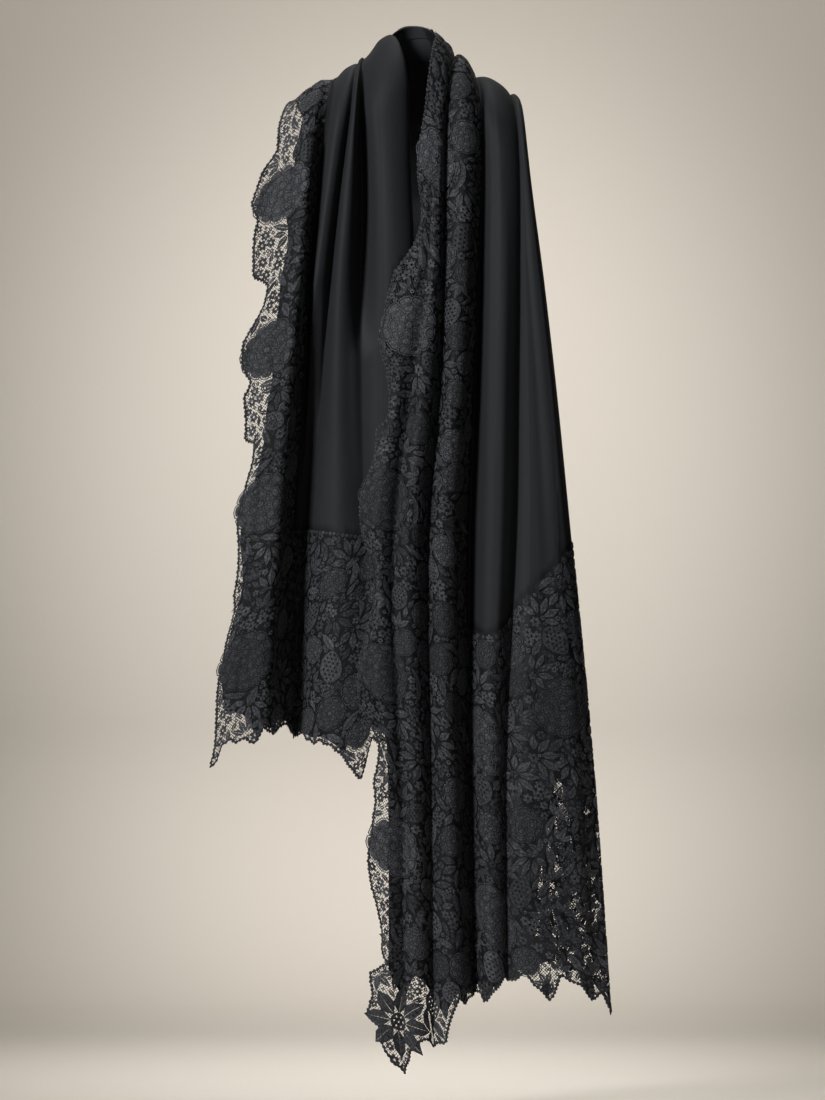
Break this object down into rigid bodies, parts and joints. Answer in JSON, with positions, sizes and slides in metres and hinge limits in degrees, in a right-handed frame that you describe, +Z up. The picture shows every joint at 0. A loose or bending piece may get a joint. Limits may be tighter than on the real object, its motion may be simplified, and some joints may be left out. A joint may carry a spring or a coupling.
{
  "type": "lace scarf",
  "caption": "Long dark wool shawl edged with floral lace, worn round the neck: the short end hangs at one side and the long end crosses in front of it.",
  "frame": {"origin": "where the wearer holds it: on the axis of the neck, level with the tops of the shoulders", "axes": "+Z up, -Y to the front of the wearer, +X to the side of the long end, which is the wearer's left"},
  "size_m": [0.4693, 0.2366, 1.243],
  "materials": {
    "wool": "fine black twill with a soft sheen",
    "lace": "black floral lace on a net ground"
  },
  "bodies": {
    "root": {"cloth_back": "wool", "cloth_left": "wool", "cloth_right": "wool", "lace_edge_back": "lace", "lace_edge_left": "lace", "lace_edge_right": "lace", "lace_end_left": "lace", "lace_end_right": "lace", "lace_front_right": "lace"}
  },
  "joints": []
}
